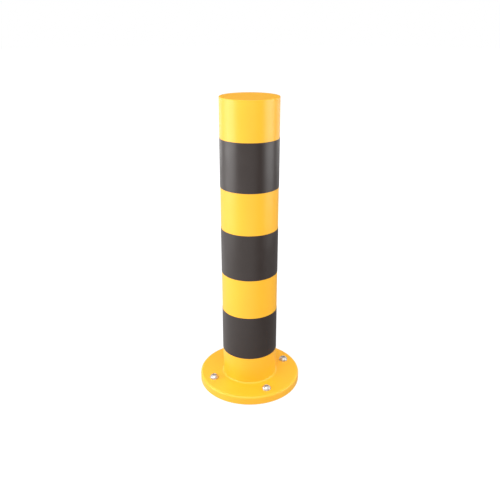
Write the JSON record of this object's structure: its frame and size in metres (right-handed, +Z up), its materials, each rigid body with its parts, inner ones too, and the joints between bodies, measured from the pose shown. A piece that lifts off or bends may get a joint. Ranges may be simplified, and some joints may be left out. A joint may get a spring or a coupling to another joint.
{
  "type": "steel safety bollard",
  "caption": "Yellow and black banded steel bollard: a round capped post welded to a round base plate that is fixed down with domed nuts.",
  "frame": {"origin": "centre of the base plate's underside, on the ground", "axes": "+Z up along the post's axis; the film laps meet at the back, at +Y; the fixings lie at 45 degrees to X and Y"},
  "size_m": [0.215, 0.215, 0.607],
  "materials": {
    "yellow_powder_coat": "satin powder coat on steel",
    "black_film": "satin self-adhesive vinyl film",
    "zinc_plated_steel": "bright zinc plated, turned"
  },
  "bodies": {
    "root": {"base_plate": "yellow_powder_coat", "base_weld": "yellow_powder_coat", "post_tube": "yellow_powder_coat", "lid_weld": "yellow_powder_coat", "lid_plate": "yellow_powder_coat", "black_band_1": "black_film", "black_band_2": "black_film", "black_band_3": "black_film", "fixing_washer_1": "zinc_plated_steel", "fixing_washer_2": "zinc_plated_steel", "fixing_washer_3": "zinc_plated_steel", "fixing_washer_4": "zinc_plated_steel", "sleeve_nut_1": "zinc_plated_steel", "sleeve_nut_2": "zinc_plated_steel", "sleeve_nut_3": "zinc_plated_steel", "sleeve_nut_4": "zinc_plated_steel"}
  },
  "joints": []
}
